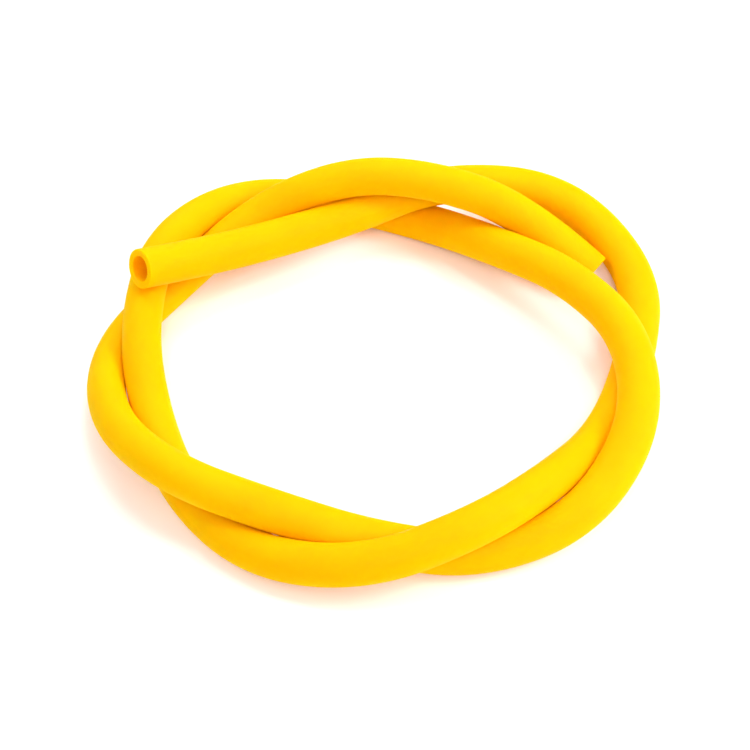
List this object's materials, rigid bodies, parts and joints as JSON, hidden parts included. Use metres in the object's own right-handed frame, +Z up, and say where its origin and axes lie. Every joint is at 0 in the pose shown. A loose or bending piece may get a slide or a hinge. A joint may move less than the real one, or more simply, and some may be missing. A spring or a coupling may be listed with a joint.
{
  "type": "coiled elastomer tube",
  "caption": "Loose coil of soft open-bore elastomer tube with both ends cut square and bare.",
  "frame": {"origin": "on the surface the coil lies on, under the middle of its bounding box", "axes": "+Z up off the surface; +X along the coil's longer side, with the upper mouth near -X; +Y away from the viewer"},
  "size_m": [0.2456, 0.2294, 0.0506],
  "materials": {
    "tube_yellow": "soft matte"
  },
  "bodies": {
    "root": {"tube_end_upper": "tube_yellow", "coil_span_01": "tube_yellow", "coil_span_02": "tube_yellow", "coil_span_03": "tube_yellow", "coil_span_04": "tube_yellow", "coil_span_05": "tube_yellow", "coil_span_06": "tube_yellow", "coil_span_07": "tube_yellow", "coil_span_08": "tube_yellow", "coil_span_09": "tube_yellow", "coil_span_10": "tube_yellow", "coil_span_11": "tube_yellow", "coil_span_12": "tube_yellow", "coil_span_13": "tube_yellow", "coil_span_14": "tube_yellow", "coil_span_15": "tube_yellow", "coil_span_16": "tube_yellow", "coil_span_17": "tube_yellow", "coil_span_18": "tube_yellow", "coil_span_19": "tube_yellow", "coil_span_20": "tube_yellow", "coil_span_21": "tube_yellow", "coil_span_22": "tube_yellow", "coil_span_23": "tube_yellow", "coil_span_24": "tube_yellow", "coil_span_25": "tube_yellow", "coil_span_26": "tube_yellow", "coil_span_27": "tube_yellow", "coil_span_28": "tube_yellow", "coil_span_29": "tube_yellow", "coil_span_30": "tube_yellow", "coil_span_31": "tube_yellow", "coil_span_32": "tube_yellow", "coil_span_33": "tube_yellow", "coil_span_34": "tube_yellow", "coil_span_35": "tube_yellow", "tube_end_lower": "tube_yellow"}
  },
  "joints": []
}
